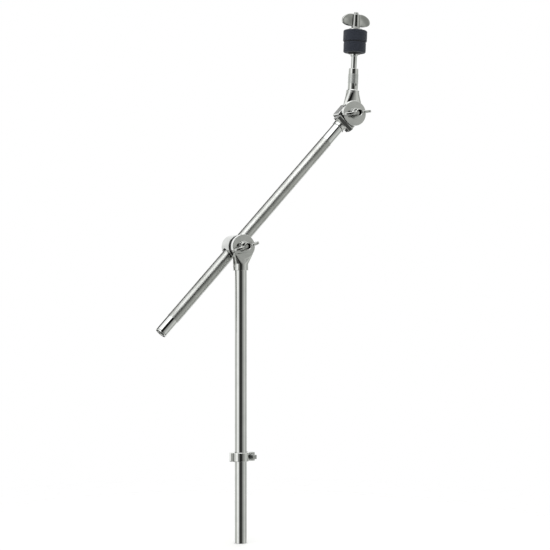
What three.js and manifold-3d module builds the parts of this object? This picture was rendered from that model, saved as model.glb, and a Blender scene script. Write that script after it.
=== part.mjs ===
// Upper section of a cymbal boom stand: a plain post with a memory lock, a friction tilter that clamps
// the boom, the boom itself, and a small tilter that carries the cymbal rod with its felts and wing nut.
//
// Millimetres, +Z up. The origin is the centre of the post's open bottom end. The boom leans towards +X,
// both tilters turn about the Y direction, and their wing nuts face -Y, which is the front.

import * as THREE from 'three';
import { mergeVertices } from 'three/addons/utils/BufferGeometryUtils.js';
import { ConvexGeometry } from 'three/addons/geometries/ConvexGeometry.js';
import Module from 'manifold-3d';

const wasm = await Module();
wasm.setup();

// ---------------------------------------------------------------- driving dimensions

const GAP = 0.3; // left between pieces that touch or run on each other
const CUT = 1; // how far a cutting solid runs past the faces it cuts
const ROUND = 28; // sides of a large round piece
const SMALL_ROUND = 16; // sides of a small round piece

const POST = { radius: 9.55, wall: 1.3, top: 424, tiltAxisHeight: 445.3 };
const PIN = { radius: 1.5 };
const BOLT = { radius: 3.9, holeRadius: 4.25 }; // the M8 bolts and the holes that they pass through

const POST_HEAD = {
  discRadius: 18.2,
  frontY: -11.7,
  rearY: -4.7,
  socketRadius: 11.75,
  socketBottom: -35.9, // heights here are measured from the tilt axis
  socketRim: -27,
  socketTop: -18.5,
  neckTop: -11,
  neckHalfWidth: 14.6,
  pinHeight: -30,
};

const LOCK = {
  height: 129.6,
  tall: 13.6,
  slot: 1.5,
  radius: 13,
  lugReach: 17.5,
  lugDepth: 8,
  earReach: 21,
  earDepth: 11,
};
const LOCK_BOLT = {
  x: 16.6,
  radius: 2.9,
  flangeRadius: 4.1,
  headSide: 6.4,
  headLong: 6,
  nutSide: 9.5,
  nutLong: 4,
};

const BARREL = { radius: 17.8, frontY: 5.3, rearY: 36.5, rearRounding: 6, drumRadius: 15.5, drumFrontY: 0.9 };
const BOOM = {
  axisY: 21.6,
  angle: 46.95, // degrees above horizontal
  radius: 9.4,
  wall: 1.3,
  tail: -177, // distances along the boom, from the tilt axis
  cymbalPivot: 286.2,
};
const BUSH = { radius: 10.55, halfLength: 13.8, slit: 2 };
const EYE = { radius: 13, halfThickness: 4.2, tipY: -22.5 };
const BRAKE_RING = { radius: 17.2, bore: 8, frontY: -4.4, rearY: 0.6 };
const COUNTERBORE = { radius: 8, bottomY: 3.9 };
const TILTER_SPRING = { wire: 0.65, radius: 5.6, startY: -3.7, endY: 3.1, turns: 3 };

const END_CAP = { flange: 2, flangeRadius: 9.2, spigotEnd: -163 };
const BOOM_HEAD = {
  spigotFar: 60, // distances back along the boom from the cymbal pivot
  ferruleFar: 30,
  ferruleNear: 17.6,
  pinAt: 46.5,
  ferruleSmall: 10.2,
  ferruleLarge: 11.6,
  paddleRadius: 17.6,
  paddleHalfWidth: 17.1,
  frontY: 12.9,
  rearY: 32.6,
};
// A bar across the boom head in front of the ferrule, its front edge chamfered to a slope.
const SHOULDER = { near: 18.6, far: 24.6, halfWidth: 15.2, frontY: 5.2, chamfer: 4 };

const ROD_HEAD = {
  discRadius: 19.5,
  frontY: 2.8,
  rearY: 10.6,
  neckFrontY: 4.6,
  neckBottom: 6,
  neckHalfWidth: 18.3,
  ringRadius: 10.9,
  ringBottom: 33,
  ringTop: 36.5,
  sleeveBase: 8.5,
  sleeveTopRadius: 7.9,
  sleeveTop: 70.8,
  screwHeight: 45,
};
const CYMBAL_BRAKE = { radius: 17.3, bore: 6.2, frontY: 10.9, rearY: 12.6 };
const CYMBAL_SPRING = { wire: 0.55, radius: 5.1, startY: 7.4, endY: 17.8, turns: 4 };
const SPRING_POCKET = { radius: 6.2, frontY: 6.4, rearY: 18.6 };
const CYMBAL_BOLT = { headRadius: 7.5, headLong: 4, tipY: -8 };

const ROD = {
  lean: 3, // degrees from vertical, towards +X
  axisY: 14.2,
  radius: 4.8,
  threadRadius: 3.95,
  bottom: 42,
  collarRadius: 6.2,
  collarBottom: 90.8,
  collarTop: 93.6,
  top: 159.6,
};
const CUP = { radius: 10.8, bottom: 93.9, floor: 0.9, top: 95.6, rim: 1.2 };
const SLEEVE = { radius: 6.2, top: 129.5 };
const FELT = { bore: 6.5, rounding: 1.6 };
const LOWER_FELT = { radius: 17.6, thick: 16.6 };
const UPPER_FELT = { radius: 18.7, thick: 18 };
const TOP_WASHER = { radius: 11.5, thick: 2 };

const WASHER = { radius: 8.5, thick: 1.5 };
const WING_NUT = {
  hubBase: 7.4,
  hubTop: 5.9,
  wingThick: 4.4,
  lowerBendX: 14, // where each wing's lower edge and its shoulder start to bend
  shoulderX: 9,
  neckX: 5.4, // where the wing drops into the saddle
  tipLow: 0.32, // the straight part of the tip and the pull of the curve under it, as shares of the height
  tipHigh: 0.67,
  tipCurl: 0.05,
};
const TILTER_WINGS = { reach: 21.7, root: 1.2, tall: 15.5, saddle: 9.3, hubTall: 13.7, turn: 16.5 };
const CYMBAL_TILTER_WINGS = { ...TILTER_WINGS, reach: 24, turn: 8 };
const TOP_WINGS = { reach: 24.4, root: 3.6, tall: 23.4, saddle: 23.4, hubTall: 23 };

// ---------------------------------------------------------------- materials

const metal = (color, roughness) => new THREE.MeshStandardMaterial({ color, roughness, metalness: 1 });
const dull = (color, roughness) => new THREE.MeshStandardMaterial({ color, roughness, metalness: 0 });

const CHROME = metal(0xd9dcda, 0.08);
const KNURLED_CHROME = metal(0xa9aba6, 0.35);
const ZINC = metal(0xb4b6b2, 0.3);
const SPRING_STEEL = metal(0x8c8f92, 0.3);
const FRICTION_FIBRE = dull(0x26282a, 0.8);
const NYLON = dull(0x1c1d1f, 0.5);
const FELT_CLOTH = dull(0x2b303a, 0.95);

// ---------------------------------------------------------------- solids

const radians = THREE.MathUtils.degToRad;

// Turns a closed geometry into a solid with its faces pointing out.
function solid(geometry) {
  const bare = geometry.clone();
  for (const name of Object.keys(bare.attributes)) {
    if (name !== 'position') bare.deleteAttribute(name);
  }
  const merged = mergeVertices(bare, 1e-4);
  const corners = merged.index.array;
  const triangles = [];
  for (let i = 0; i < corners.length; i += 3) {
    const [a, b, c] = [corners[i], corners[i + 1], corners[i + 2]];
    if (a !== b && b !== c && c !== a) triangles.push(a, b, c);
  }
  const points = merged.attributes.position.array;
  if (signedVolume(points, triangles) < 0) triangles.reverse();
  const vertProperties = Float32Array.from(points);
  const triVerts = Uint32Array.from(triangles);
  return new wasm.Manifold(new wasm.Mesh({ numProp: 3, vertProperties, triVerts }));
}

function signedVolume(points, triangles) {
  const corner = (i) => new THREE.Vector3().fromArray(points, 3 * triangles[i]);
  let total = 0;
  for (let i = 0; i < triangles.length; i += 3) {
    total += corner(i).dot(corner(i + 1).cross(corner(i + 2)));
  }
  return total;
}

const join = (...solids) => solids.reduce((whole, next) => whole.add(next));
const cut = (whole, ...tools) => tools.reduce((rest, tool) => rest.subtract(tool), whole);

// Rounds turned about an axis. A profile is a list of [radius, distance along the axis].
function turned(profile, sides = ROUND) {
  const outline = profile.map(([radius, along]) => new THREE.Vector2(radius, along));
  return new THREE.LatheGeometry([...outline, outline[0]], sides);
}
const turnedZ = (profile, sides) => solid(turned(profile, sides).rotateX(Math.PI / 2));
const turnedY = (profile, sides) => solid(turned(profile, sides));
const turnedX = (profile, sides) => solid(turned(profile, sides).rotateZ(-Math.PI / 2));

const rodProfile = (radius, from, to) => [[0, from], [radius, from], [radius, to], [0, to]];
const ringProfile = (inner, outer, from, to) => [[inner, from], [outer, from], [outer, to], [inner, to]];
// A ring whose outer edges are chamfered.
const bevelledProfile = (inner, outer, from, to, bevel) => [
  [inner, from], [outer - bevel, from], [outer, from + bevel],
  [outer, to - bevel], [outer - bevel, to], [inner, to],
];

function block([x0, x1], [y0, y1], [z0, z1]) {
  const box = new THREE.BoxGeometry(x1 - x0, y1 - y0, z1 - z0);
  return solid(box.translate((x0 + x1) / 2, (y0 + y1) / 2, (z0 + z1) / 2));
}

// A shape drawn in X and Z, extruded from one Y to another.
function plate(shape, y0, y1, curveSegments = 8) {
  const slab = new THREE.ExtrudeGeometry(shape, { depth: y1 - y0, bevelEnabled: false, curveSegments });
  return solid(slab.rotateX(Math.PI / 2).translate(0, y1, 0));
}

const circlePoints = (radius, y, z) => Array.from({ length: ROUND }, (_, i) => {
  const angle = (2 * Math.PI * i) / ROUND;
  return new THREE.Vector3(radius * Math.sin(angle), y - radius * Math.cos(angle), z);
});
const rectanglePoints = (halfWidth, y0, y1, z) => [-halfWidth, halfWidth].flatMap(
  (x) => [new THREE.Vector3(x, y0, z), new THREE.Vector3(x, y1, z)],
);
// The front half of an ellipse, from its flat back at y1 to its nearest point at y0.
const bowPoints = (halfWidth, y0, y1, z) => Array.from({ length: ROUND / 2 + 1 }, (_, i) => {
  const angle = Math.PI * (i / (ROUND / 2) - 0.5);
  return new THREE.Vector3(halfWidth * Math.sin(angle), y1 - (y1 - y0) * Math.cos(angle), z);
});
// The neck between a disc, wide and thin, and a round socket.
const neck = (wideEnd, circle) => solid(new ConvexGeometry([...wideEnd, ...circle]));

// A coil spring about the Y direction.
function coil({ wire, radius, startY, endY, turns }) {
  class Helix extends THREE.Curve {
    getPoint(t, target = new THREE.Vector3()) {
      const angle = 2 * Math.PI * turns * t;
      return target.set(radius * Math.cos(angle), startY + (endY - startY) * t, radius * Math.sin(angle));
    }
  }
  const section = new THREE.Shape().absarc(0, 0, wire, 0, 2 * Math.PI);
  const steps = 14 * turns;
  return solid(new THREE.ExtrudeGeometry(section, { steps, curveSegments: 3, extrudePath: new Helix() }));
}

const group = new THREE.Group();

function addMesh(parent, name, body, material) {
  const { vertProperties, triVerts } = body.getMesh();
  const geometry = new THREE.BufferGeometry();
  geometry.setAttribute('position', new THREE.BufferAttribute(Float32Array.from(vertProperties), 3));
  geometry.setIndex(new THREE.BufferAttribute(Uint32Array.from(triVerts), 1));
  geometry.computeVertexNormals();
  const mesh = new THREE.Mesh(geometry, material);
  mesh.name = name;
  parent.add(mesh);
}

function addFrame(parent, [x, y, z], turnY = 0) {
  const frame = new THREE.Group();
  frame.position.set(x, y, z);
  frame.rotation.y = radians(turnY);
  parent.add(frame);
  return frame;
}

// ---------------------------------------------------------------- post and memory lock

function makePost() {
  const inner = POST.radius - POST.wall;
  const pinHeight = POST.tiltAxisHeight + POST_HEAD.pinHeight;
  const pinHole = turnedX(rodProfile(PIN.radius + GAP, -2 * POST.radius, 2 * POST.radius), SMALL_ROUND);
  const tube = turnedZ(bevelledProfile(inner, POST.radius, 0, POST.top, 0.4));
  addMesh(group, 'post_tube', cut(tube, pinHole.translate([0, 0, pinHeight])), CHROME);
}

function makeMemoryLock() {
  const lock = addFrame(group, [0, 0, LOCK.height]);
  const half = LOCK.tall / 2;
  const slot = LOCK.slot / 2;
  const ring = join(
    turnedZ(bevelledProfile(0, LOCK.radius, -half, half, 0.8)),
    block([-LOCK.lugReach, 0], [-LOCK.lugDepth / 2, LOCK.lugDepth / 2], [-half, half]),
    block([0, LOCK.earReach], [-LOCK.earDepth / 2, LOCK.earDepth / 2], [-half, half]),
  );
  const boltHole = turnedY(rodProfile(LOCK_BOLT.radius + GAP, -LOCK.earDepth, LOCK.earDepth), SMALL_ROUND);
  addMesh(lock, 'memory_lock_ring', cut(
    ring,
    turnedZ(rodProfile(POST.radius + GAP, -LOCK.tall, LOCK.tall)),
    block([0, LOCK.earReach + CUT], [-slot, slot], [-LOCK.tall, LOCK.tall]),
    boltHole.translate([LOCK_BOLT.x, 0, 0]),
  ), CHROME);

  const bolt = addFrame(lock, [LOCK_BOLT.x, 0, 0]);
  const face = -LOCK.earDepth / 2 - GAP;
  const washerFront = face - 1;
  const flangeFront = washerFront - GAP - 1.5;
  const headFront = flangeFront - LOCK_BOLT.headLong;
  const nutFace = LOCK.earDepth / 2 + GAP;
  const side = LOCK_BOLT.headSide / 2;
  const nutSide = LOCK_BOLT.nutSide / 2;
  addMesh(bolt, 'memory_lock_washer', turnedY(
    ringProfile(LOCK_BOLT.radius + GAP, LOCK_BOLT.flangeRadius + 0.5, washerFront, face), SMALL_ROUND,
  ), ZINC);
  addMesh(bolt, 'memory_lock_bolt', join(
    turnedY(rodProfile(LOCK_BOLT.radius, flangeFront, nutFace + LOCK_BOLT.nutLong + CUT), SMALL_ROUND),
    turnedY(rodProfile(LOCK_BOLT.flangeRadius, flangeFront, washerFront - GAP), SMALL_ROUND),
    block([-side, side], [headFront, flangeFront + 0.5], [-side, side]),
  ), ZINC);
  const nutBack = nutFace + LOCK_BOLT.nutLong;
  addMesh(bolt, 'memory_lock_nut', cut(
    block([-nutSide, nutSide], [nutFace, nutBack], [-nutSide, nutSide]),
    turnedY(rodProfile(LOCK_BOLT.radius + GAP, nutFace - CUT, nutBack + CUT), SMALL_ROUND),
  ), ZINC);
}

// ---------------------------------------------------------------- wing nuts and washers

// A wing nut about +Z, its seat at 0 and its wings along X. They meet the hub at the saddle height.
function wingNut({ reach, root, tall, saddle, hubTall }) {
  const { hubBase, hubTop, wingThick, lowerBendX, shoulderX, neckX } = WING_NUT;
  const tipHeight = (share) => root + share * tall;
  const { tipLow, tipHigh, tipCurl } = WING_NUT;
  const wing = (side) => new THREE.Shape()
    .moveTo(0, root)
    .lineTo(hubBase * side, root)
    .bezierCurveTo(lowerBendX * side, root, reach * side, tipHeight(tipCurl), reach * side, tipHeight(tipLow))
    .bezierCurveTo(reach * side, tipHeight(tipHigh), lowerBendX * side, tall, shoulderX * side, tall)
    .quadraticCurveTo(hubTop * side, tall, neckX * side, saddle)
    .lineTo(0, saddle);
  const hub = turnedZ([
    [0, 0], [hubBase, 0], [hubBase, 1.6], [hubTop + 0.5, 4], [hubTop, hubTall - 1],
    [hubTop - 0.9, hubTall], [0, hubTall],
  ], SMALL_ROUND);
  const wings = [-1, 1].map((side) => plate(wing(side), -wingThick / 2, wingThick / 2, 5));
  const bore = turnedZ(rodProfile(BOLT.radius + GAP, -CUT, hubTall + CUT), SMALL_ROUND);
  return cut(join(hub, ...wings), bore);
}

const facingFront = (body) => body.rotate([90, 0, 0]);

// The washer and wing nut that close a tilter, on a bolt that comes out towards the front.
function addTilterNut(parent, names, seatY, wings) {
  const washerRear = seatY - GAP;
  const washerFront = washerRear - WASHER.thick;
  const seat = addFrame(parent, [0, 0, 0], -wings.turn);
  addMesh(seat, names.washer, turnedY(
    bevelledProfile(BOLT.radius + GAP, WASHER.radius, washerFront, washerRear, 0.3), SMALL_ROUND,
  ), CHROME);
  const nut = facingFront(wingNut(wings)).translate([0, washerFront - GAP, 0]);
  addMesh(seat, names.nut, nut, CHROME);
}

// ---------------------------------------------------------------- boom tilter

function makePostHead(tilter) {
  const { discRadius, frontY, rearY, socketRadius, socketBottom, socketTop, pinHeight } = POST_HEAD;
  const casting = join(
    turnedY(bevelledProfile(0, discRadius, frontY, rearY, 0.6)),
    neck(
      rectanglePoints(POST_HEAD.neckHalfWidth, frontY, rearY, POST_HEAD.neckTop),
      circlePoints(socketRadius, 0, POST_HEAD.socketRim),
    ),
    turnedZ(bevelledProfile(0, socketRadius, socketBottom, socketTop, 0.5)),
  );
  const boreTop = POST.top - POST.tiltAxisHeight + GAP;
  const pinHole = turnedX(rodProfile(PIN.radius + GAP, -2 * socketRadius, 2 * socketRadius), SMALL_ROUND);
  addMesh(tilter, 'post_head', cut(
    casting,
    turnedZ(rodProfile(POST.radius + GAP, socketBottom - CUT, boreTop)),
    turnedY(rodProfile(BARREL.radius + 2 * GAP, rearY, BARREL.rearY)),
    turnedY(rodProfile(BOLT.holeRadius, frontY - CUT, rearY + CUT), SMALL_ROUND),
    pinHole.translate([0, 0, pinHeight]),
  ), CHROME);

  const pinHalf = socketRadius - 0.4;
  const pin = turnedX(bevelledProfile(0, PIN.radius, -pinHalf, pinHalf, 0.3), SMALL_ROUND);
  addMesh(tilter, 'post_head_pin', pin.translate([0, 0, pinHeight]), ZINC);
}

function barrelProfile() {
  const { radius, frontY, rearY, rearRounding, drumRadius, drumFrontY } = BARREL;
  const steps = 5;
  const rounding = Array.from({ length: steps + 1 }, (_, i) => {
    const angle = (Math.PI / 2) * (i / steps);
    return [
      radius - rearRounding + rearRounding * Math.cos(angle),
      rearY - rearRounding + rearRounding * Math.sin(angle),
    ];
  });
  return [
    [0, drumFrontY], [drumRadius, drumFrontY], [drumRadius, frontY], [radius - 0.6, frontY],
    [radius, frontY + 0.6], ...rounding, [0, rearY],
  ];
}

function makeBoomClamp(boom) {
  const { axisY } = BOOM;
  const eyeRoom = EYE.radius + GAP;
  const slot = EYE.halfThickness + GAP;
  addMesh(boom, 'boom_barrel', cut(
    turnedY(barrelProfile()),
    turnedX(rodProfile(BUSH.radius + GAP, -2 * BARREL.radius, 2 * BARREL.radius)).translate([0, axisY, 0]),
    turnedX(rodProfile(eyeRoom, -slot, slot)).translate([0, axisY, 0]),
    block([-slot, slot], [BARREL.drumFrontY - CUT, axisY], [-eyeRoom, eyeRoom]),
    turnedY(rodProfile(COUNTERBORE.radius, BARREL.drumFrontY - CUT, COUNTERBORE.bottomY)),
  ), CHROME);

  const { radius, halfThickness, tipY } = EYE;
  const eye = turnedX(bevelledProfile(0, radius, -halfThickness, halfThickness, 0.5));
  addMesh(boom, 'eye_bolt', cut(
    join(
      eye.translate([0, axisY, 0]),
      turnedY(bevelledProfile(0, BOLT.radius, tipY, axisY - BOOM.radius, 0.6), SMALL_ROUND),
    ),
    turnedX(rodProfile(BUSH.radius + GAP, -2 * halfThickness, 2 * halfThickness)).translate([0, axisY, 0]),
  ), ZINC);

  addMesh(boom, 'brake_ring', turnedY(
    bevelledProfile(BRAKE_RING.bore, BRAKE_RING.radius, BRAKE_RING.frontY, BRAKE_RING.rearY, 0.4),
  ), FRICTION_FIBRE);
  addMesh(boom, 'tilter_spring', coil(TILTER_SPRING), SPRING_STEEL);
  addTilterNut(boom, { washer: 'tilter_washer', nut: 'tilter_wing_nut' }, POST_HEAD.frontY, {
    ...TILTER_WINGS, turn: TILTER_WINGS.turn - BOOM.angle,
  });

  const bush = turnedX(ringProfile(BOOM.radius + GAP, BUSH.radius, -BUSH.halfLength, BUSH.halfLength));
  const slitLength = 2 * BUSH.halfLength;
  const slitHalf = BUSH.slit / 2;
  const slit = block([-slitLength, slitLength], [-slitHalf, slitHalf], [0, 2 * BUSH.radius]);
  addMesh(boom, 'boom_bush', cut(bush, slit).translate([0, axisY, 0]), NYLON);
}

// ---------------------------------------------------------------- boom

function makeBoom(boom) {
  const { axisY, radius, wall, tail, cymbalPivot } = BOOM;
  const tubeStart = tail + END_CAP.flange + GAP;
  const tubeEnd = cymbalPivot - BOOM_HEAD.ferruleFar - GAP;
  const pinX = cymbalPivot - BOOM_HEAD.pinAt;
  const pinHole = turnedY(rodProfile(PIN.radius + GAP, -2 * radius, 2 * radius), SMALL_ROUND);
  const tube = turnedX(bevelledProfile(radius - wall, radius, tubeStart, tubeEnd, 0.4));
  const drilled = cut(tube, pinHole.translate([pinX, 0, 0]));
  addMesh(boom, 'boom_tube', drilled.translate([0, axisY, 0]), KNURLED_CHROME);

  const capRadius = radius - wall - GAP;
  const cap = turnedX([
    [0, tail], [END_CAP.flangeRadius - 0.8, tail], [END_CAP.flangeRadius, tail + 0.8],
    [END_CAP.flangeRadius, tail + END_CAP.flange], [capRadius, tail + END_CAP.flange],
    [capRadius, END_CAP.spigotEnd - 1], [capRadius - 1, END_CAP.spigotEnd], [0, END_CAP.spigotEnd],
  ], ROUND);
  addMesh(boom, 'boom_end_cap', cap.translate([0, axisY, 0]), ZINC);

  const pinHalf = radius - 0.3;
  const pin = turnedY(bevelledProfile(0, PIN.radius, -pinHalf, pinHalf, 0.3), SMALL_ROUND);
  addMesh(boom, 'boom_head_pin', pin.translate([pinX, axisY, 0]), ZINC);
}

// The upright U of the boom head's paddle, its round end up the boom.
function paddleShape() {
  const { paddleRadius, paddleHalfWidth, ferruleNear } = BOOM_HEAD;
  const corner = 2;
  const bend = Math.acos(paddleHalfWidth / paddleRadius);
  return new THREE.Shape()
    .moveTo(-ferruleNear, -paddleHalfWidth + corner)
    .lineTo(-ferruleNear + corner, -paddleHalfWidth)
    .lineTo(paddleRadius * Math.sin(bend), -paddleHalfWidth)
    .absarc(0, 0, paddleRadius, -Math.PI / 2 + bend, Math.PI / 2 - bend)
    .lineTo(-ferruleNear + corner, paddleHalfWidth)
    .lineTo(-ferruleNear, paddleHalfWidth - corner);
}

function shoulder() {
  const { near, far, halfWidth, frontY, chamfer } = SHOULDER;
  const corners = [
    [-near, BOOM.axisY], [-near, frontY], [chamfer - far, frontY],
    [-far, frontY + chamfer], [-far, BOOM.axisY],
  ];
  const side = (z) => corners.map(([x, y]) => new THREE.Vector3(x, y, z));
  return solid(new ConvexGeometry([...side(-halfWidth), ...side(halfWidth)]));
}

function makeBoomHead(boom) {
  const { axisY, radius, wall } = BOOM;
  const { spigotFar, ferruleFar, ferruleNear, ferruleSmall, ferruleLarge, frontY, rearY, pinAt } = BOOM_HEAD;
  const spigot = radius - wall - GAP;
  const ferrule = turnedX([
    [0, -spigotFar], [spigot - 1, -spigotFar], [spigot, -spigotFar + 1], [spigot, -ferruleFar],
    [ferruleSmall - 0.5, -ferruleFar], [ferruleSmall, -ferruleFar + 0.5],
    [ferruleLarge, -ferruleNear - 3], [ferruleLarge, -ferruleNear + CUT], [0, -ferruleNear + CUT],
  ]).translate([0, axisY, 0]);
  const head = addFrame(boom, [BOOM.cymbalPivot, 0, 0]);
  const pinHole = turnedY(rodProfile(PIN.radius + GAP, -2 * radius, 2 * radius), SMALL_ROUND);
  addMesh(head, 'boom_head', cut(
    join(ferrule, plate(paddleShape(), frontY, rearY, 12), shoulder()),
    turnedY(rodProfile(ROD_HEAD.discRadius + GAP, 0, frontY)),
    turnedY(rodProfile(BOLT.holeRadius, frontY - CUT, rearY + CUT), SMALL_ROUND),
    turnedY(rodProfile(SPRING_POCKET.radius, frontY - CUT, SPRING_POCKET.rearY), SMALL_ROUND),
    pinHole.translate([-pinAt, axisY, 0]),
  ), CHROME);
  return head;
}

// ---------------------------------------------------------------- cymbal tilter

function makeCymbalTilter(head) {
  const { headRadius, headLong, tipY } = CYMBAL_BOLT;
  const seat = BOOM_HEAD.rearY + GAP;
  addMesh(head, 'cymbal_tilter_bolt', turnedY([
    [0, tipY], [BOLT.radius - 0.6, tipY], [BOLT.radius, tipY + 0.6], [BOLT.radius, seat],
    [headRadius, seat], [headRadius, seat + 1.2], [0.75 * headRadius, seat + 0.75 * headLong],
    [0.4 * headRadius, seat + headLong], [0, seat + headLong],
  ], SMALL_ROUND), ZINC);
  addMesh(head, 'cymbal_brake_ring', turnedY(
    bevelledProfile(CYMBAL_BRAKE.bore, CYMBAL_BRAKE.radius, CYMBAL_BRAKE.frontY, CYMBAL_BRAKE.rearY, 0.3),
  ), FRICTION_FIBRE);
  addMesh(head, 'cymbal_tilter_spring', coil(CYMBAL_SPRING), SPRING_STEEL);
  addTilterNut(head, { washer: 'cymbal_tilter_washer', nut: 'cymbal_tilter_wing_nut' }, ROD_HEAD.frontY, {
    ...CYMBAL_TILTER_WINGS, turn: CYMBAL_TILTER_WINGS.turn - BOOM.angle,
  });
}

function makeRodHead(rodFrame) {
  const { discRadius, frontY, rearY, neckFrontY, neckBottom, ringRadius, ringBottom, ringTop } = ROD_HEAD;
  const { sleeveBase, sleeveTopRadius, sleeveTop, screwHeight } = ROD_HEAD;
  const paddleCorner = Math.hypot(BOOM_HEAD.paddleHalfWidth, BOOM_HEAD.ferruleNear);
  const casting = join(
    turnedY(bevelledProfile(0, discRadius, frontY, rearY, 0.6)),
    neck(
      bowPoints(ROD_HEAD.neckHalfWidth, neckFrontY, rearY, neckBottom),
      circlePoints(ringRadius, ROD.axisY, ringBottom),
    ),
    turnedZ(bevelledProfile(0, ringRadius, ringBottom - CUT, ringTop, 0.6)).translate([0, ROD.axisY, 0]),
    turnedZ([
      [0, ringBottom], [sleeveBase, ringBottom], [sleeveTopRadius, sleeveTop - 0.6],
      [sleeveTopRadius - 0.6, sleeveTop], [0, sleeveTop],
    ]).translate([0, ROD.axisY, 0]),
  );
  const rodBore = turnedZ(rodProfile(ROD.radius + GAP, ROD.bottom - GAP, sleeveTop + CUT), SMALL_ROUND);
  const screwHole = turnedY(rodProfile(2.3, 0, ROD.axisY), SMALL_ROUND);
  addMesh(rodFrame, 'rod_head', cut(
    casting,
    turnedY(rodProfile(CYMBAL_BRAKE.radius + GAP, rearY, BOOM_HEAD.rearY)),
    turnedY(rodProfile(paddleCorner + GAP, BOOM_HEAD.frontY - GAP, BOOM_HEAD.rearY)),
    turnedY(rodProfile(BOLT.holeRadius, frontY - CUT, rearY + CUT), SMALL_ROUND),
    turnedY(rodProfile(SPRING_POCKET.radius, SPRING_POCKET.frontY, rearY + CUT), SMALL_ROUND),
    rodBore.translate([0, ROD.axisY, 0]),
    screwHole.translate([0, 0, screwHeight]),
  ), CHROME);

  const screwRear = ROD.axisY - ROD.radius - GAP;
  const screwFront = ROD.axisY - sleeveTopRadius - 0.4;
  addMesh(rodFrame, 'rod_set_screw', cut(
    turnedY(bevelledProfile(0, 2, screwFront, screwRear, 0.3), SMALL_ROUND),
    turnedY(rodProfile(1.15, screwFront - CUT, screwFront + 1.6), 6),
  ).translate([0, 0, screwHeight]), ZINC);
}

// ---------------------------------------------------------------- cymbal rod, felts and top nut

function makeRod(rodFrame) {
  const rod = addFrame(rodFrame, [0, ROD.axisY, 0]);
  const { radius, threadRadius, bottom, collarRadius, collarBottom, collarTop, top } = ROD;
  addMesh(rod, 'cymbal_rod', turnedZ([
    [0, bottom], [radius, bottom], [radius, collarBottom - 1], [collarRadius, collarBottom],
    [collarRadius, collarTop], [threadRadius, collarTop], [threadRadius, top - 0.8],
    [threadRadius - 0.8, top], [0, top],
  ], SMALL_ROUND), CHROME);

  const bore = threadRadius + GAP;
  const cupFloor = CUP.bottom + CUP.floor;
  addMesh(rod, 'cup_washer', turnedZ([
    [bore, CUP.bottom], [CUP.radius - 1.6, CUP.bottom], [CUP.radius, CUP.bottom + 0.8], [CUP.radius, CUP.top],
    [CUP.radius - CUP.rim, CUP.top], [CUP.radius - CUP.rim - 0.6, cupFloor], [bore, cupFloor],
  ]), NYLON);
  const sleeveBottom = cupFloor + GAP;
  addMesh(rod, 'cymbal_sleeve', turnedZ(ringProfile(bore, SLEEVE.radius, sleeveBottom, SLEEVE.top)), NYLON);

  const lowerBottom = CUP.top + GAP;
  const upperBottom = lowerBottom + LOWER_FELT.thick + GAP;
  const felt = ({ radius: outer, thick }, from) => turnedZ(
    bevelledProfile(FELT.bore, outer, from, from + thick, FELT.rounding),
  );
  addMesh(rod, 'lower_felt', felt(LOWER_FELT, lowerBottom), FELT_CLOTH);
  addMesh(rod, 'upper_felt', felt(UPPER_FELT, upperBottom), FELT_CLOTH);

  const washerBottom = upperBottom + UPPER_FELT.thick + GAP;
  const washerTop = washerBottom + TOP_WASHER.thick;
  addMesh(rod, 'top_washer', turnedZ(
    bevelledProfile(bore, TOP_WASHER.radius, washerBottom, washerTop, 0.4),
  ), CHROME);
  addMesh(rod, 'top_wing_nut', wingNut(TOP_WINGS).translate([0, 0, washerTop + GAP]), CHROME);
}

// ---------------------------------------------------------------- assembly

makePost();
makeMemoryLock();
const tilter = addFrame(group, [0, 0, POST.tiltAxisHeight]);
makePostHead(tilter);
const boom = addFrame(tilter, [0, 0, 0], -BOOM.angle);
makeBoomClamp(boom);
makeBoom(boom);
const head = makeBoomHead(boom);
makeCymbalTilter(head);
const rodFrame = addFrame(head, [0, 0, 0], BOOM.angle + ROD.lean);
makeRodHead(rodFrame);
makeRod(rodFrame);

export default group;
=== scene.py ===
"""Looks of a cymbal boom stand's upper section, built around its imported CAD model.

Every piece is worked out in millimetres in the frame of the body that carries it, and is turned into metres
as it is placed. Turned pieces are profiles revolved with small fillets, castings are the skins of distance
fields, and the boom's knurl and the screw threads are cut into their surfaces.
"""
import math

import bpy
import numpy as np
from mathutils import Matrix, Vector, noise


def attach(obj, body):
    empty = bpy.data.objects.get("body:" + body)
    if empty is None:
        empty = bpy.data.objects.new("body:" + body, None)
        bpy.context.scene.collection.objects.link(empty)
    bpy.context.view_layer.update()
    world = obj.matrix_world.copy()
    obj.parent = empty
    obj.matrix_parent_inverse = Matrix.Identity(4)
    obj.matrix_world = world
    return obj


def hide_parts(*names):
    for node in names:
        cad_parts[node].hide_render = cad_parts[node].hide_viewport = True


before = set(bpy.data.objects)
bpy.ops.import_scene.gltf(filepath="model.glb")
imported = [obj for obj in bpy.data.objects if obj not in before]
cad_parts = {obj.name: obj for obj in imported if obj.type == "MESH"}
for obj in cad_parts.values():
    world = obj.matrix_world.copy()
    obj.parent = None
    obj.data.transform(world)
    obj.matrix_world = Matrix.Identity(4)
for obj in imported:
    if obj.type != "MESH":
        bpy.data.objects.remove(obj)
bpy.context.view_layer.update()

MM = 0.001

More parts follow.
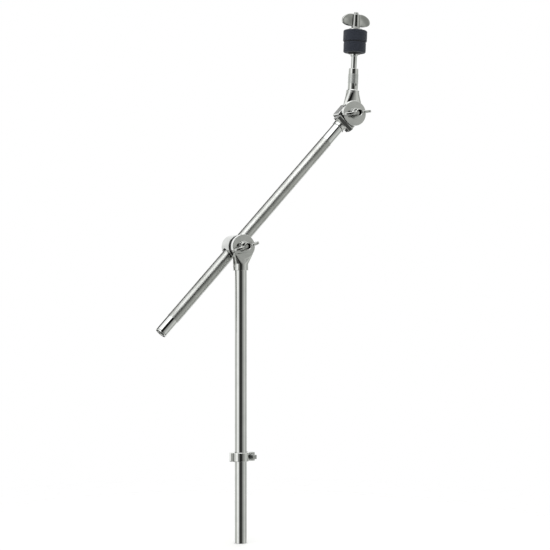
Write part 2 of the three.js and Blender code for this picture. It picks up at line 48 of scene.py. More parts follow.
# ---- dimensions, in millimetres and degrees
CLEAR = 0.3  # between pieces that touch
TILT_AXIS = 445.3  # height of the boom's tilt axis over the post's bottom end
BOOM_ANGLE = 46.95  # the boom's rise at rest
BOOM_Y = 21.6  # how far the boom's axis lies behind the post's
PIVOT = 286.2  # along the boom, from its tilt axis to the rod's
ROD_LEAN = 3  # the rod's lean from upright at rest
ROD_Y = 14.2  # how far the rod's axis lies behind the post's
LOCK_Z = 129.6  # height of the memory lock's middle
POST_R = 9.55
POST_TOP = 424
BOOM_R = 9.4
BOOM_LOW, BOOM_HIGH = -174.7, PIVOT - 30.3  # the boom tube's ends
WALL = 1.3  # of both tubes
PITCH = 1.25  # of the threads
BOLT_R = 3.9
BOLT_HOLE_R = 4.25
LOCK_BOLT_R = 2.9
LOCK_BOLT_X = 16.6
PIN_R = 1.5  # of the cross pins
POST_PIN_Z = -30  # in the tilter's frame
BOOM_PIN_X = -46.5  # in the boom head's frame
POST_DISC = (-11.7, -4.7)  # front and back of the post head's disc
ROD_DISC = (2.8, 10.6)  # front and back of the rod head's disc
EYE_INNER, EYE_OUTER = 10.85, 13
SET_SCREW_Z = 45  # in the rod head's frame
THREAD_R = 3.95  # of the cymbal rod


# ---- frames
class Place:
    """A frame in the part: an origin in its parent's frame and a turn about Y in degrees."""

    def __init__(self, origin=(0, 0, 0), turn=0.0, parent=None):
        base = parent.matrix if parent else Matrix.Identity(4)
        self.matrix = base @ Matrix.Translation(origin) @ Matrix.Rotation(math.radians(turn), 4, "Y")

    def points(self, points):
        m = np.array(self.matrix)
        return (points @ m[:3, :3].T + m[:3, 3]) * MM

    def directions(self, directions):
        return directions @ np.array(self.matrix)[:3, :3].T


PART = Place()
LOCK = Place((0, 0, LOCK_Z))
TILTER = Place((0, 0, TILT_AXIS))
BOOM = Place(turn=-BOOM_ANGLE, parent=TILTER)
HEAD = Place((PIVOT, 0, 0), parent=BOOM)
ROD_HEAD = Place(turn=BOOM_ANGLE + ROD_LEAN, parent=HEAD)
ROD = Place((0, ROD_Y, 0), parent=ROD_HEAD)


# ---- meshes
class Shape:
    """Points, faces and, if known, the normals at the points."""

    def __init__(self, points, faces, normals=None, facets=()):
        self.points = np.asarray(points, float)
        self.faces = faces
        self.normals = normals
        self.facets = set(facets)  # faces that stay flat


def joined(*shapes):
    points, faces, count = [], [], 0
    for shape in shapes:
        points.append(shape.points)
        faces += [tuple(i + count for i in face) for face in shape.faces]
        count += len(shape.points)
    return Shape(np.vstack(points), faces)


def skin(rings, closed=False):
    """The surface over a stack of rings of points, an array (rings, around, 3)."""
    rings = np.asarray(rings, float)
    count, around = rings.shape[:2]
    index = np.arange(count * around).reshape(count, around)
    lower = index if closed else index[:-1]
    upper = np.roll(index, -1, axis=0) if closed else index[1:]
    quads = np.stack([lower, np.roll(lower, -1, 1), np.roll(upper, -1, 1), upper], -1).reshape(-1, 4)
    faces = [tuple(q) for q in quads.tolist()]
    if not closed:
        faces += [tuple(index[0][::-1].tolist()), tuple(index[-1].tolist())]
    return Shape(rings.reshape(-1, 3), faces)


def around(radius, along, sides):
    """A ring of points about X. The radius may differ from point to point."""
    turn = np.arange(sides) * (2 * math.pi / sides)
    radius = np.broadcast_to(radius, turn.shape)
    along = np.broadcast_to(along, turn.shape)
    return np.stack([along, radius * np.cos(turn), radius * np.sin(turn)], -1)


def about(axis, shape, shift=(0, 0, 0)):
    """A shape made about X, stood about another axis instead."""
    order = {"X": [0, 1, 2], "Y": [2, 0, 1], "Z": [1, 2, 0]}[axis]
    return Shape(shape.points[:, order] + np.array(shift, float), shape.faces, facets=shape.facets)


def filleted(corners, ring=False, steps=4):
    """A profile with its corners rounded. A corner is (radius, along, fillet radius)."""
    hold = 0.12  # an extra point this far from each fillet keeps the flats shaded flat
    out = []
    last = len(corners) - 1
    for i, (radius, along, fillet) in enumerate(corners):
        here = Vector((radius, along))
        if fillet <= 0 or (not ring and i in (0, last)):
            out.append((radius, along))
            continue
        before = Vector(corners[i - 1][:2]) - here
        after = Vector(corners[(i + 1) % len(corners)][:2]) - here
        half = before.angle(after) / 2
        reach = min(fillet / math.tan(half), 0.45 * before.length, 0.45 * after.length)
        bend = reach * math.tan(half)
        middle = here + (before.normalized() + after.normalized()).normalized() * (bend / math.sin(half))
        start = here + before.normalized() * reach
        end = here + after.normalized() * reach
        spread = math.pi - 2 * half
        out.append(tuple(here + before.normalized() * min(reach + hold, 0.49 * before.length)))
        for k in range(steps + 1):
            t = k / steps
            a, b = math.sin((1 - t) * spread), math.sin(t * spread)
            out.append(tuple(middle + ((start - middle) * a + (end - middle) * b) / math.sin(spread)))
        out.append(tuple(here + after.normalized() * min(reach + hold, 0.49 * after.length)))
    return out


def turned(corners, ring=False, sides=96):
    """A profile with filleted corners, revolved about X."""
    profile = filleted(corners, ring)
    return skin([around(r, t, sides) for r, t in profile], closed=ring)


def rod_shape(radius, start, end, fillet, sides):
    """A plain rod about X."""
    return turned([(radius - 2 * fillet, start, 0), (radius, start, fillet), (radius, end, fillet),
                   (radius - 2 * fillet, end, 0)], sides=sides)


def ring_shape(inner, outer, start, end, fillet, sides=96):
    """A flat ring or a tube about X."""
    bore_fillet = 0.2
    return turned([(inner, start, bore_fillet), (outer, start, fillet), (outer, end, fillet),
                   (inner, end, bore_fillet)], ring=True, sides=sides)


def threaded(radius, start, end, chamfer=0.8):
    """A right-handed screw thread about X, its ends chamfered."""
    sides, rings_a_turn = 40, 8
    depth = 0.61 * PITCH
    along = np.linspace(start, end, max(3, int((end - start) / PITCH * rings_a_turn)))
    turn = np.arange(sides) / sides
    wave = np.abs(2 * np.mod(along[:, None] / PITCH - turn[None], 1.0) - 1)
    crest = radius - depth * np.clip(1.15 * (1 - wave) - 0.1, 0, 0.9)
    edge = np.minimum(along - start, end - along)[:, None] + radius - chamfer
    return skin([around(np.minimum(c, e), t, sides) for c, e, t in zip(crest, edge, along)])


def coil(wire, radius, start, end, turns):
    """A coil spring about X of round wire, its first and last turns closed."""
    steps_a_turn, sides, closed_turn = 28, 12, 0.6
    t = np.linspace(0, 1, steps_a_turn * turns + 1)
    rise = np.clip((t * turns - closed_turn) / (turns - 2 * closed_turn), 0, 1)
    angle = 2 * math.pi * turns * t
    zero = np.zeros_like(t)
    out = np.stack([zero, np.cos(angle), np.sin(angle)], -1)
    points = out * radius + np.stack([start + (end - start) * rise, zero, zero], -1)
    up = np.array([1.0, 0, 0])
    section = [(wire * math.cos(a), wire * math.sin(a)) for a in np.arange(sides) * math.pi / 6]
    rings = [p + across * o + high * up for p, o in zip(points, out) for across, high in section]
    return skin(np.array(rings).reshape(len(points), sides, 3))


# ---- distance fields of castings
def soft_min(a, b, k):
    """The lesser of two distances, their join filled out over a width k."""
    h = np.clip(0.5 + 0.5 * (b - a) / k, 0, 1)
    return b + (a - b) * h - k * h * (1 - h)


def soft_max(a, b, k):
    return -soft_min(-a, -b, k)


def fuse(k, first, *others):
    """Bodies joined, with a fillet of about k between them."""
    for other in others:
        first = soft_min(first, other, k)
    return first


def carve(k, body, *tools):
    """A body with tools cut out of it, the cut's edges softened by k."""
    for tool in tools:
        body = soft_max(body, -tool, k)
    return body


def rounded(a, b, fillet):
    """The distance to where two slabs, at distances a and b, meet in a fillet."""
    p, q = a + fillet, b + fillet
    return np.hypot(np.maximum(p, 0), np.maximum(q, 0)) + np.minimum(np.maximum(p, q), 0) - fillet


def cylinder(p, axis, radius, start, end, fillet, centre=(0, 0)):
    """A round about X, Y or Z. Its centre is given in the other two directions, in order."""
    i = "XYZ".index(axis)
    j, k = [n for n in range(3) if n != i]
    wide = np.hypot(p[j] - centre[0], p[k] - centre[1]) - radius
    long = np.abs(p[i] - (start + end) / 2) - (end - start) / 2
    return rounded(wide, long, fillet)


def bore(p, axis, radius, start, end, centre=(0, 0)):
    """The tool for a round hole, given like a cylinder."""
    return cylinder(p, axis, radius, start, end, 0.1, centre)


def cone(p, axis, radii, start, end, fillet, centre=(0, 0)):
    """Like cylinder, with a radius at each end."""
    i = "XYZ".index(axis)
    j, k = [n for n in range(3) if n != i]
    share = np.clip((p[i] - start) / (end - start), 0, 1)
    wide = np.hypot(p[j] - centre[0], p[k] - centre[1]) - (radii[0] + (radii[1] - radii[0]) * share)
    long = np.abs(p[i] - (start + end) / 2) - (end - start) / 2
    return rounded(wide, long, fillet)


def box(p, low, high, fillet):
    q = [np.abs(p[i] - (low[i] + high[i]) / 2) - (high[i] - low[i]) / 2 + fillet for i in range(3)]
    outside = np.sqrt(sum(np.maximum(v, 0) ** 2 for v in q))
    return outside + np.minimum(np.maximum(np.maximum(q[0], q[1]), q[2]), 0) - fillet


def neck(p, half_width, depth, z_wide, radius, centre_y, z_round):
    """The loft from a rectangle, half_width by the Y range depth, to a circle about Z."""
    share = np.clip((p[2] - z_wide) / (z_round - z_wide), 0, 1)
    middle = (1 - share) * sum(depth) / 2 + share * centre_y
    half_depth = (1 - share) * (depth[1] - depth[0]) / 2
    corner = np.maximum(share * radius, 0.7)
    qx = np.abs(p[0]) - (1 - share) * half_width - share * radius + corner
    qy = np.abs(p[1] - middle) - half_depth - share * radius + corner
    flat = np.hypot(np.maximum(qx, 0), np.maximum(qy, 0)) + np.minimum(np.maximum(qx, qy), 0) - corner
    low, high = min(z_wide, z_round), max(z_wide, z_round)
    long = np.abs(p[2] - (low + high) / 2) - (high - low) / 2
    return rounded(0.94 * flat, long, 0.4)


def bowed_neck(p, wide, round_end):
    """The loft from the front half of an ellipse, with a flat back, to a circle about Z.

    wide is (half width, nearest Y, Y of the flat back, height) and round_end is (radius, centre Y, height).
    """
    half_width, near, back, z_wide = wide
    radius, centre_y, z_round = round_end
    share = np.clip((p[2] - z_wide) / (z_round - z_wide), 0, 1)
    middle = (1 - share) * back + share * centre_y
    across = (1 - share) * half_width + share * radius
    front = (1 - share) * (back - near) + share * radius
    rear = np.maximum(share * radius, 0.8)
    depth = np.where(p[1] < middle, front, rear)
    ratio = np.hypot(p[0] / across, (p[1] - middle) / depth)
    slope = np.hypot(p[0] / across ** 2, (p[1] - middle) / depth ** 2)
    wall = (ratio - 1) * np.minimum(ratio / np.maximum(slope, 1e-3), across)
    long = np.abs(p[2] - (z_wide + z_round) / 2) - abs(z_round - z_wide) / 2
    return rounded(0.9 * wall, long, 0.4)


def outline(px, pz, corners):
    """The distance to a closed outline drawn in X and Z, less than nothing inside it."""
    corners = np.array(corners, float)
    nearest = np.full(px.shape, 1e9)
    inside = np.zeros(px.shape, bool)
    for (ax, az), (bx, bz) in zip(corners, np.roll(corners, -1, axis=0)):
        ex, ez = bx - ax, bz - az
        share = np.clip(((px - ax) * ex + (pz - az) * ez) / (ex * ex + ez * ez), 0, 1)
        nearest = np.minimum(nearest, (px - ax - share * ex) ** 2 + (pz - az - share * ez) ** 2)
        if ez:
            crosses = (az > pz) != (bz > pz)
            inside ^= crosses & (px < ex * (pz - az) / ez + ax)
    return np.where(inside, -1, 1) * np.sqrt(nearest)


def gradient(field, points):
    step = 0.02
    slopes = []
    for i in range(3):
        shift = np.zeros(3)
        shift[i] = step
        slopes.append((field((points + shift).T) - field((points - shift).T)) / (2 * step))
    return np.stack(slopes, -1)


def casting(field, low, high, cell=0.45):
    """The skin of a distance field: one point in each cell that it passes through, drawn onto the surface."""
    low = np.array(low, float) - 1.37 * cell
    size = np.ceil((np.array(high, float) + 1.2 * cell - low) / cell).astype(int) + 1
    axes = [low[i] + cell * np.arange(size[i]) for i in range(3)]
    value = field(np.meshgrid(*axes, indexing="ij"))
    inside = value < 0
    corners = np.stack(np.meshgrid([0, 1], [0, 1], [0, 1], indexing="ij"), -1).reshape(-1, 3)
    last = size - 1
    full = sum(inside[i:last[0] + i, j:last[1] + j, k:last[2] + k].astype(np.int8) for i, j, k in corners)
    cells = np.argwhere((full > 0) & (full < 8))
    number = np.full(full.shape, -1)
    number[tuple(cells.T)] = np.arange(len(cells))
    total = np.zeros((len(cells), 3))
    hits = np.zeros(len(cells))
    for axis in range(3):
        for corner in corners[corners[:, axis] == 0]:
            start = cells + corner
            end = start.copy()
            end[:, axis] += 1
            a, b = value[tuple(start.T)], value[tuple(end.T)]
            crossed = (a < 0) != (b < 0)
            share = np.where(crossed, a / np.where(crossed, a - b, 1), 0)
            place = start.astype(float)
            place[:, axis] += share
            total += place * crossed[:, None]
            hits += crossed
    points = low + cell * total / hits[:, None]
    for _ in range(3):
        slope = gradient(field, points)
        move = (field(points.T) / np.maximum((slope ** 2).sum(1), 0.2))[:, None] * slope
        points -= np.clip(move, -0.5 * cell, 0.5 * cell)
    faces = []
    for axis in range(3):
        j, k = (axis + 1) % 3, (axis + 2) % 3
        head, tail = [slice(None)] * 3, [slice(None)] * 3
        head[axis], tail[axis] = slice(1, None), slice(None, -1)
        leaving = inside[tuple(tail)] & ~inside[tuple(head)]
        entering = ~inside[tuple(tail)] & inside[tuple(head)]
        for crossing, outward in ((leaving, True), (entering, False)):
            at = np.argwhere(crossing)
            quad = []
            for dj, dk in ((0, 0), (-1, 0), (-1, -1), (0, -1)):
                spot = at.copy()
                spot[:, j] += dj
                spot[:, k] += dk
                quad.append(number[tuple(spot.T)])
            quad = np.stack(quad, -1)
            faces += (quad if outward else quad[:, ::-1]).tolist()
    if min(min(face) for face in faces) < 0:
        raise ValueError("the casting runs out of its box")
    slope = gradient(field, points)
    normals = slope / np.maximum(np.linalg.norm(slope, axis=1), 1e-6)[:, None]
    return Shape(points, [tuple(f) for f in faces], normals)


def volume(points, faces):
    """Six times the volume inside the faces, less than nothing if they face inwards."""
    total = 0.0
    for face in faces:
        a = points[face[0]]
        for i in range(1, len(face) - 1):
            total += np.dot(a, np.cross(points[face[i]], points[face[i + 1]]))
    return total


def piece(name, node, shape, place, material, body, sharp=38):
    """Makes a mesh from a shape, in place of a CAD node, riding on a body."""
    points = place.points(shape.points)
    faces = shape.faces
    if shape.normals is None and volume(points, faces) < 0:
        faces = [face[::-1] for face in faces]
    mesh = bpy.data.meshes.new(name)
    mesh.from_pydata(points.tolist(), [], faces)
    smooth = np.ones(len(mesh.polygons), bool)
    smooth[list(shape.facets)] = False
    mesh.polygons.foreach_set("use_smooth", smooth)
    if shape.normals is None:
        mesh.set_sharp_from_angle(angle=math.radians(sharp))
    else:
        mesh.normals_split_custom_set_from_vertices(place.directions(shape.normals).tolist())
    mesh.materials.append(material)
    thing = bpy.data.objects.new(name, mesh)
    bpy.context.scene.collection.objects.link(thing)
    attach(thing, body)
    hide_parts(node)
    return thing


# ---- materials
# Noise scales are in features to the metre, and heights are in metres.
def ramp(tree, factor, low, high, start=0.35, end=0.65):
    """A colour that goes from low to high as the factor goes from start to end."""
    node = tree.nodes.new("ShaderNodeValToRGB")
    node.color_ramp.elements[0].position = start
    node.color_ramp.elements[0].color = (*low, 1)
    node.color_ramp.elements[1].position = end
    node.color_ramp.elements[1].color = (*high, 1)
    tree.links.new(factor, node.inputs["Fac"])
    return node.outputs["Color"]


def greys(tree, factor, low, high, *span):
    return ramp(tree, factor, (low,) * 3, (high,) * 3, *span)


def noise_of(tree, place, scale, detail, stretch=(1, 1, 1)):
    mapping = tree.nodes.new("ShaderNodeMapping")
    mapping.inputs["Scale"].default_value = stretch
    tree.links.new(place, mapping.inputs["Vector"])
    node = tree.nodes.new("ShaderNodeTexNoise")
    node.inputs["Scale"].default_value = scale
    node.inputs["Detail"].default_value = detail
    tree.links.new(mapping.outputs["Vector"], node.inputs["Vector"])
    return node.outputs["Fac"]


def raised(tree, height, strength, distance, after=None):
    """The normal of a surface raised by up to a distance, over the bumps of an earlier one."""
    bump = tree.nodes.new("ShaderNodeBump")
    bump.inputs["Strength"].default_value = strength
    bump.inputs["Distance"].default_value = distance
    tree.links.new(height, bump.inputs["Height"])
    if after:
        tree.links.new(after, bump.inputs["Normal"])
    return bump.outputs["Normal"]


def blank(name, metallic):
    material = bpy.data.materials.new(name)
    material.use_nodes = True
    tree = material.node_tree
    shader = tree.nodes["Principled BSDF"]
    shader.inputs["Metallic"].default_value = metallic
    place = tree.nodes.new("ShaderNodeTexCoord").outputs["Object"]
    return material, tree, shader.inputs, place


def wired(material, tree, inputs, color, rough, normal):
    for socket, source in (("Base Color", color), ("Roughness", rough), ("Normal", normal)):
        tree.links.new(source, inputs[socket])
    return material


def mixed(tree, first, second, factor=1.0, blend="MIX"):
    """Two colours mixed. The first is a socket, and the second and the factor are sockets or values."""
    mix = tree.nodes.new("ShaderNodeMix")
    mix.data_type = "RGBA"
    mix.blend_type = blend
    tree.links.new(first, mix.inputs["A"])
    for value, socket in ((second, mix.inputs["B"]), (factor, mix.inputs["Factor"])):
        if isinstance(value, bpy.types.NodeSocket):
            tree.links.new(value, socket)
        else:
            socket.default_value = value
    return mix.outputs["Result"]


def shade_in_hollows(tree, color, reach, darkest):
    """Dims a colour in corners and hollows: painted shade where they are hemmed in, and also where plating is
    thin and dirt gathers.
    """
    hollow = tree.nodes.new("ShaderNodeAmbientOcclusion")
    hollow.samples = 8
    hollow.inputs["Distance"].default_value = reach
    shade = greys(tree, hollow.outputs["AO"], darkest, 1.0, 0.25, 0.8)
    return mixed(tree, color, shade, blend="MULTIPLY")


def plated(name, dark, bright, rough, ripple, lines=0.0, grime_and_shade=None):
    """Bright plating: faint clouding, fine polishing marks and a slight ripple from the metal below.

    rough is the least and greatest roughness, ripple and lines are the strengths of the ripple and of brushed
    lines along Z, and grime is how far from a corner the plating dims and how dark it gets right in it:
    painted shade in hollows, standing also for dirt.
    """
    cloud_scale, haze_scale, mark_scale, ripple_scale = 70, 420, 1500, 140
    mark_height, ripple_height = 0.00002, 0.0004
    material, tree, inputs, place = blank(name, 1.0)
    cloud = ramp(tree, noise_of(tree, place, cloud_scale, 4), dark, bright)
    # painted shade: the colour is dimmed in corners and hollows
    if grime_and_shade:
        cloud = shade_in_hollows(tree, cloud, *grime_and_shade)
    haze = greys(tree, noise_of(tree, place, haze_scale, 5), *rough, 0.3, 0.75)
    marks = noise_of(tree, place, mark_scale, 2, stretch=(1, 1, 0.12))
    normal = raised(tree, marks, 0.05 + lines, mark_height)
    swell = noise_of(tree, place, ripple_scale, 2)
    normal = raised(tree, swell, ripple, ripple_height, normal)
    return wired(material, tree, inputs, cloud, haze, normal)


def knurled(name):
    """Satin chrome over a knurl, darker in the grooves than on the crests: painted shade, and also dirt in
    the grooves and wear on the crests.
    """
    cloud_scale, haze_scale, grain_scale, grain_height = 45, 300, 2500, 0.00002
    material, tree, inputs, place = blank(name, 1.0)
    groove = tree.nodes.new("ShaderNodeAttribute")
    groove.attribute_name = "crest"
    # painted shade: the grooves are coloured darker than the crests, standing also for dirt
    grime_and_shade = ramp(tree, groove.outputs["Fac"], (0.42, 0.43, 0.41), (0.84, 0.85, 0.83), 0.05, 0.6)
    cloud = ramp(tree, noise_of(tree, place, cloud_scale, 4), (0.84, 0.84, 0.83), (1.0, 1.0, 1.0))
    color = mixed(tree, grime_and_shade, cloud, blend="MULTIPLY")
    haze = greys(tree, noise_of(tree, place, haze_scale, 4), 0.14, 0.24, 0.3, 0.7)
    normal = raised(tree, noise_of(tree, place, grain_scale, 3), 0.2, grain_height)
    return wired(material, tree, inputs, color, haze, normal)


def matt(name, dark, bright, rough, grain_scale, grain_height):
    """A dull material: mottled colour and a grain at the right size."""
    tone_scale, haze_scale = 60, 360
    material, tree, inputs, place = blank(name, 0.0)
    tone = ramp(tree, noise_of(tree, place, tone_scale, 5), dark, bright)
    haze = greys(tree, noise_of(tree, place, haze_scale, 3), *rough)
    normal = raised(tree, noise_of(tree, place, grain_scale, 4), 0.6, grain_height)
    return wired(material, tree, inputs, tone, haze, normal)


def felted(name):
    """Pressed wool: tangled fibres, flecks of lighter wool, and a soft bloom at the edges."""
    tangle_scale, tangle_height = 900, 0.0006
    fleck_scale, fleck_height = 2600, 0.0002
    material, tree, inputs, place = blank(name, 0.0)
    inputs["Sheen Weight"].default_value = 0.25
    inputs["Sheen Roughness"].default_value = 0.5
    tangle = noise_of(tree, place, tangle_scale, 6, stretch=(1, 1, 3))
    wool = ramp(tree, tangle, (0.018, 0.023, 0.036), (0.052, 0.062, 0.088), 0.3, 0.72)
    fleck = noise_of(tree, place, fleck_scale, 2)
    lint = ramp(tree, fleck, (0.0, 0.0, 0.0), (0.05, 0.055, 0.06), 0.66, 0.78)
    color = mixed(tree, wool, lint, blend="ADD")
    haze = greys(tree, fleck, 0.85, 1.0)
    normal = raised(tree, fleck, 0.5, fleck_height, raised(tree, tangle, 0.9, tangle_height))
    return wired(material, tree, inputs, color, haze, normal)


# how far from a corner cast plating dims and how dark it gets right in it: painted shade, standing also for
# dirt
CAST_ROUGH, CAST_GRIME_AND_SHADE = (0.07, 0.16), (0.006, 0.15)
CHROME = plated("chrome", (0.80, 0.815, 0.80), (0.87, 0.88, 0.865), (0.03, 0.08), ripple=0.02)
CAST_CHROME = plated("cast_chrome", (0.78, 0.795, 0.775), (0.86, 0.87, 0.85), CAST_ROUGH, ripple=0.10,
                     grime_and_shade=CAST_GRIME_AND_SHADE)
BARREL_CHROME = plated("barrel_chrome", (0.58, 0.595, 0.58), (0.67, 0.68, 0.665), CAST_ROUGH, ripple=0.10,
                       grime_and_shade=CAST_GRIME_AND_SHADE)
# the nuts' hollows, such as the hub's bore, are dimmed almost to black: painted shade
NUT_CHROME = plated("nut_chrome", (0.50, 0.51, 0.49), (0.72, 0.73, 0.71), (0.08, 0.2), ripple=0.12,
                    grime_and_shade=(0.012, 0.04))
SATIN = plated("satin_chrome", (0.66, 0.68, 0.66), (0.76, 0.78, 0.76), (0.34, 0.46), ripple=0.05, lines=0.3)
ZINC = plated("zinc", (0.60, 0.62, 0.61), (0.73, 0.73, 0.70), (0.2, 0.4), ripple=0.12, lines=0.1)
KNURL = knurled("knurl")
SPRING = plated("spring_wire", (0.36, 0.37, 0.38), (0.50, 0.51, 0.52), (0.25, 0.45), ripple=0.05)
FIBRE = matt("friction_fibre", (0.018, 0.018, 0.019), (0.045, 0.045, 0.045), (0.7, 0.9), 1800, 0.0002)
NYLON = matt("nylon", (0.016, 0.016, 0.018), (0.028, 0.028, 0.031), (0.38, 0.55), 700, 0.00005)
FELT = felted("felt")


# ---- post and memory lock
def build_post():
    tube = ring_shape(POST_R - WALL, POST_R, 0, POST_TOP, 0.4, sides=128)
    piece("post_tube_fine", "post_tube", about("Z", tube), PART, CHROME, "post")


def build_lock():
    half_height, ear_half, slot_half = 6.8, 5.5, 0.75
    hole = LOCK_BOLT_R + CLEAR

    def field(p):
        body = fuse(
            1.6,
            cylinder(p, "Z", 13, -half_height, half_height, 1.0),
            box(p, (-17.5, -4, -half_height), (0, 4, half_height), 1.1),
            box(p, (0, -ear_half, -half_height), (21, ear_half, half_height), 1.1),
        )
        return carve(
            0.35, body,
            bore(p, "Z", POST_R + CLEAR, -20, 20),
            box(p, (0, -slot_half, -20), (40, slot_half, 20), 0.1),
            bore(p, "Y", hole, -20, 20, (LOCK_BOLT_X, 0)),
        )

    ring = casting(field, (-17.6, -13.1, -6.9), (21.1, 13.1, 6.9), 0.4)
    piece("lock_ring_fine", "memory_lock_ring", ring, LOCK, CAST_CHROME, "memory_lock")

    bolt = Place((LOCK_BOLT_X, 0, 0), parent=LOCK)
    washer = about("Y", ring_shape(hole, 4.6, -6.8, -5.8, 0.2, 64))
    piece("lock_washer_fine", "memory_lock_washer", washer, bolt, ZINC, "lock_washer")

    def square(low, high, side, fillet):
        """A square block along Y with its corners turned off. side is half its width."""
        return lambda p: np.maximum(
            box(p, (-side, low, -side), (side, high, side), fillet),
            cylinder(p, "Y", 1.33 * side, low, high, fillet + 0.3),
        )

    head = casting(square(-14.6, -8.2, 3.2, 0.45), (-3.3, -14.7, -3.3), (3.3, -8.1, 3.3), 0.25)
    flange = about("Y", rod_shape(4.1, -8.6, -7.1, 0.3, 64))
    shank = about("Y", threaded(LOCK_BOLT_R, -7.4, 10.8, 0.6))
    piece("lock_bolt_fine", "memory_lock_bolt", joined(head, flange, shank), bolt, ZINC, "lock_bolt")

    nut_block = square(5.8, 9.8, 4.75, 0.5)
    nut = casting(lambda p: carve(0.3, nut_block(p), bore(p, "Y", hole, 0, 20)),
                  (-4.85, 5.7, -4.85), (4.85, 9.9, 4.85), 0.25)
    piece("lock_nut_fine", "memory_lock_nut", nut, bolt, ZINC, "memory_lock")


# ---- wing nuts and washers
def curve(start, *spans):
    """Points along joined Bezier curves. A span of one point is a straight line to it."""
    steps = 10
    points = [start]
    for span in spans:
        handles = [points[-1], *span]
        order = len(handles) - 1
        for i in range(1, steps + 1 if order > 1 else 2):
            t = i / steps if order > 1 else 1
            weights = [math.comb(order, n) * (1 - t) ** (order - n) * t ** n for n in range(order + 1)]
            points.append(tuple(sum(w * h[a] for w, h in zip(weights, handles)) for a in (0, 1)))
    return points


def wing_nut(reach, root, tall, saddle, hub_tall):
    """A wing nut about Z, its seat at nought and its wings along X.

    The wings go out as far as reach and from the height root up to tall, and dip to saddle between them.
    """
    base_radius, base_top = 7.4, 1.7
    hub_radii = (6.4, 5.9)
    bend_x, shoulder_x, neck_x = 14, 9, 5.4
    half_thickness, wing_fillet = 2.2, 1.3
    dish_depth, dish_x, dish_z = 0.35, 7, 6
    wing = curve(
        (0, root), [(base_radius, root)],
        [(bend_x, root), (reach, root + 0.05 * tall), (reach, root + 0.32 * tall)],
        [(reach, root + 0.67 * tall), (bend_x, tall), (shoulder_x, tall)],
        [(hub_radii[1], tall), (neck_x, saddle)],
        [(0, saddle)],
    )

    def field(p):
        x, height = np.abs(p[0]), p[2]
        in_hub = x < 5
        flat = outline(x, height, wing)
        flat = np.where(in_hub, np.minimum(flat, -1.0), flat)
        flat = np.maximum(flat, np.maximum(root - height, height - tall))
        flat = np.where(in_hub & (height > saddle), height - saddle, flat)
        dish = dish_depth * np.clip(1 - ((x - bend_x) / dish_x) ** 2, 0, 1)
        dish = dish * np.clip(1 - ((height - 0.5 * tall) / dish_z) ** 2, 0, 1)
        wings = rounded(flat, np.abs(p[1]) - half_thickness + dish, wing_fillet)
        base = cylinder(p, "Z", base_radius, 0, base_top, 0.5)
        hub = cone(p, "Z", hub_radii, 0.2, hub_tall, 1.1)
        body = fuse(1.8, hub, wings)
        body = fuse(0.9, body, base)
        chamfer = np.maximum(height - hub_tall + 0.8, 0)
        hole = np.hypot(p[0], p[1]) - (BOLT_R + CLEAR) - chamfer
        return soft_max(np.maximum(body, -height), -hole, 0.3)

    return casting(field, (-reach - 0.1, -7.5, -0.1), (reach + 0.1, 7.5, tall + 0.1), 0.4)


def facing_front(shape, shift):
    """Lays a shape made about Z down, so that it faces -Y."""
    def lie(v):
        return np.stack([v[:, 0], -v[:, 2], v[:, 1]], -1)
    return Shape(lie(shape.points) + np.array(shift, float), shape.faces, lie(shape.normals))


def build_tilter_nut(parent, turn, disc_front, reach, nodes, bodies):
    """The washer and wing nut in front of a tilter's disc, turned about their bolt."""
    place = Place(turn=-turn, parent=parent)
    thickness = 1.5
    back = disc_front - CLEAR
    washer = about("Y", ring_shape(BOLT_R + CLEAR, 8.5, back - thickness, back, 0.4))
    piece(nodes[0] + "_fine", nodes[0], washer, place, CHROME, bodies[0])
    nut = wing_nut(reach, root=1.2, tall=15.5, saddle=9.3, hub_tall=13.7)
    nut = facing_front(nut, (0, disc_front - 2.1, 0))  # behind it are the washer and two clearances
    piece(nodes[1] + "_fine", nodes[1], nut, place, NUT_CHROME, bodies[1])


# ---- boom tilter
def build_post_head():
    front, back = POST_DISC
    socket_r = 11.75

    def field(p):
        disc = cylinder(p, "Y", 18.2, front, back, 0.5)
        web = neck(p, 14.6, POST_DISC, -11, socket_r, 0, -27)
        socket = cylinder(p, "Z", socket_r, -35.9, -18.5, 0.6)
        body = fuse(1.2, fuse(0.6, web, socket), disc)
        return carve(
            0.35, body,
            bore(p, "Z", POST_R + CLEAR, -60, -21),
            bore(p, "Y", 18.4, back, 60),  # room for the barrel to turn
            bore(p, "Y", BOLT_HOLE_R, -40, 40),
            bore(p, "X", PIN_R + CLEAR, -40, 40, (0, POST_PIN_Z)),
        )

    head = casting(field, (-18.4, -11.9, -36.1), (18.4, 12, 18.4))
    piece("post_head_fine", "post_head", head, TILTER, CAST_CHROME, "post")
    pin = about("X", rod_shape(PIN_R, -11.3, 11.3, 0.35, 48), (0, 0, POST_PIN_Z))
    piece("post_head_pin_fine", "post_head_pin", pin, TILTER, ZINC, "post")


